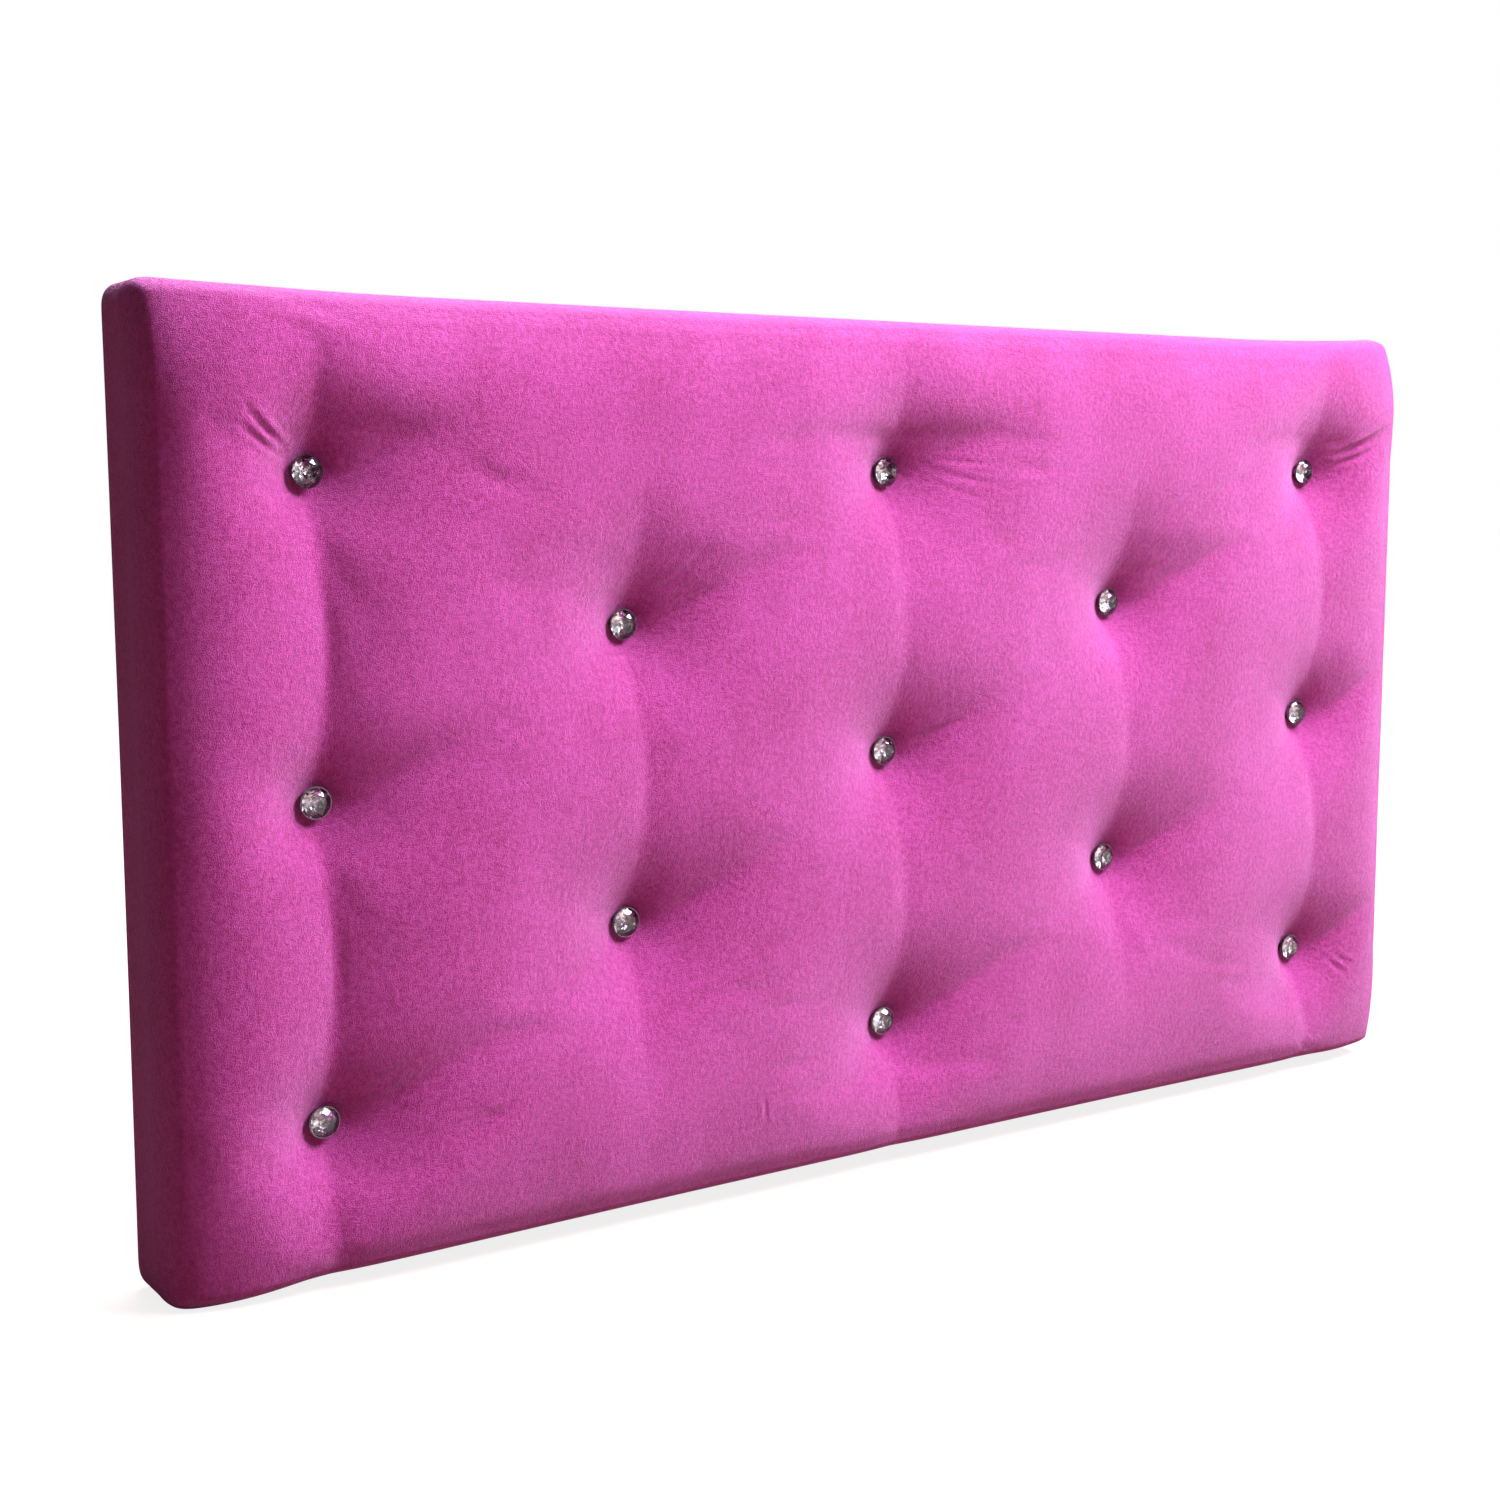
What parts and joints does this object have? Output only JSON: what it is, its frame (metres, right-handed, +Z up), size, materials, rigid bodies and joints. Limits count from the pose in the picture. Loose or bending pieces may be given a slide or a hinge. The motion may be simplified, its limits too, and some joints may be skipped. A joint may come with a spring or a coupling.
{
  "type": "headboard",
  "caption": "Flat padded headboard in magenta velvet, button-tufted with faceted crystals, on a softwood frame with tee nuts for bed struts.",
  "frame": {"origin": "Centre of the pattern of strut bolt holes, on the back face of the timber frame, midway in width and height.", "axes": "+X along the headboard's width, +Y out of its back towards the wall, +Z up; the tufted front faces -Y."},
  "size_m": [0.9, 0.0779, 0.51],
  "materials": {
    "pine": "planed softwood, unfinished",
    "board": "smooth hardboard, unfinished",
    "foam": "open-cell upholstery foam",
    "wadding": "polyester wadding",
    "velvet": "short-pile plush velvet, magenta",
    "dust_cloth": "non-woven black dust cloth",
    "plated_steel": "zinc plated",
    "staple_steel": "galvanised wire",
    "cup_metal": "polished nickel plate",
    "crystal": "faceted clear crystal, foil backed",
    "twine": "waxed nylon tufting twine"
  },
  "bodies": {
    "root": {"top_rail": "pine", "bottom_rail": "pine", "left_stile": "pine", "right_stile": "pine", "left_strut_rail": "pine", "right_strut_rail": "pine", "face_board": "board", "foam_pad": "foam", "edge_wadding": "wadding", "velvet_cover": "velvet", "dust_cover": "dust_cloth", "tee_nuts": "plated_steel", "button_cups": "cup_metal", "frame_staples": "staple_steel", "board_staples": "staple_steel", "cover_staples": "staple_steel", "dust_cover_staples": "staple_steel", "twine_staples": "staple_steel", "crystal_1_1": "crystal", "twine_1_1": "twine", "crystal_1_2": "crystal", "twine_1_2": "twine", "crystal_1_3": "crystal", "twine_1_3": "twine", "crystal_2_1": "crystal", "twine_2_1": "twine", "crystal_2_2": "crystal", "twine_2_2": "twine", "crystal_3_1": "crystal", "twine_3_1": "twine", "crystal_3_2": "crystal", "twine_3_2": "twine", "crystal_3_3": "crystal", "twine_3_3": "twine", "crystal_4_1": "crystal", "twine_4_1": "twine", "crystal_4_2": "crystal", "twine_4_2": "twine", "crystal_5_1": "crystal", "twine_5_1": "twine", "crystal_5_2": "crystal", "twine_5_2": "twine", "crystal_5_3": "crystal", "twine_5_3": "twine"}
  },
  "joints": []
}
